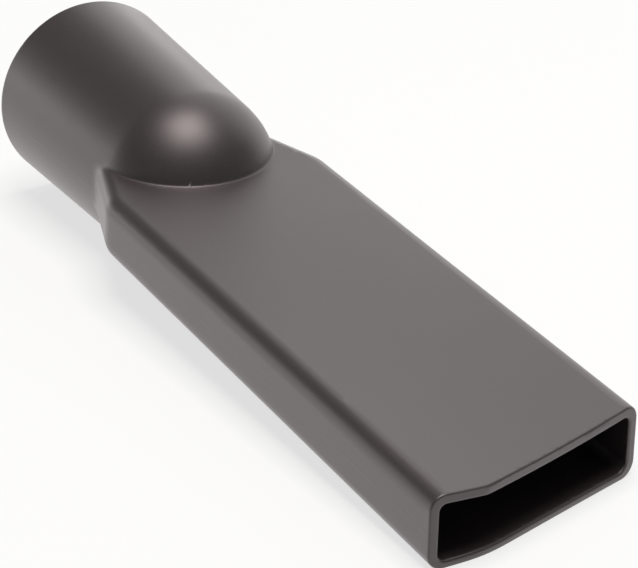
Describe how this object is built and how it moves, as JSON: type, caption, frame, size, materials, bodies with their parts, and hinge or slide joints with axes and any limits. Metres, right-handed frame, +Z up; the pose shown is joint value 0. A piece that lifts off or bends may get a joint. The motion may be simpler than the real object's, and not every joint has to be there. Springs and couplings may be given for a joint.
{
  "type": "vacuum crevice tool",
  "caption": "Crevice tool for a vacuum cleaner: a round socket and dome run into a wide flat nozzle with a slanted open mouth.",
  "frame": {"origin": "on the axis of the round socket, at the stop that the end of the wand meets", "axes": "+X along the socket's axis towards the mouth, +Y to the side where the mouth is cut back, +Z up, out of the flat top face"},
  "size_m": [0.183, 0.0478, 0.039],
  "materials": {
    "moulded_plastic": "fine matt texture, dark grey-black"
  },
  "bodies": {
    "root": {"nozzle": "moulded_plastic"}
  },
  "joints": []
}
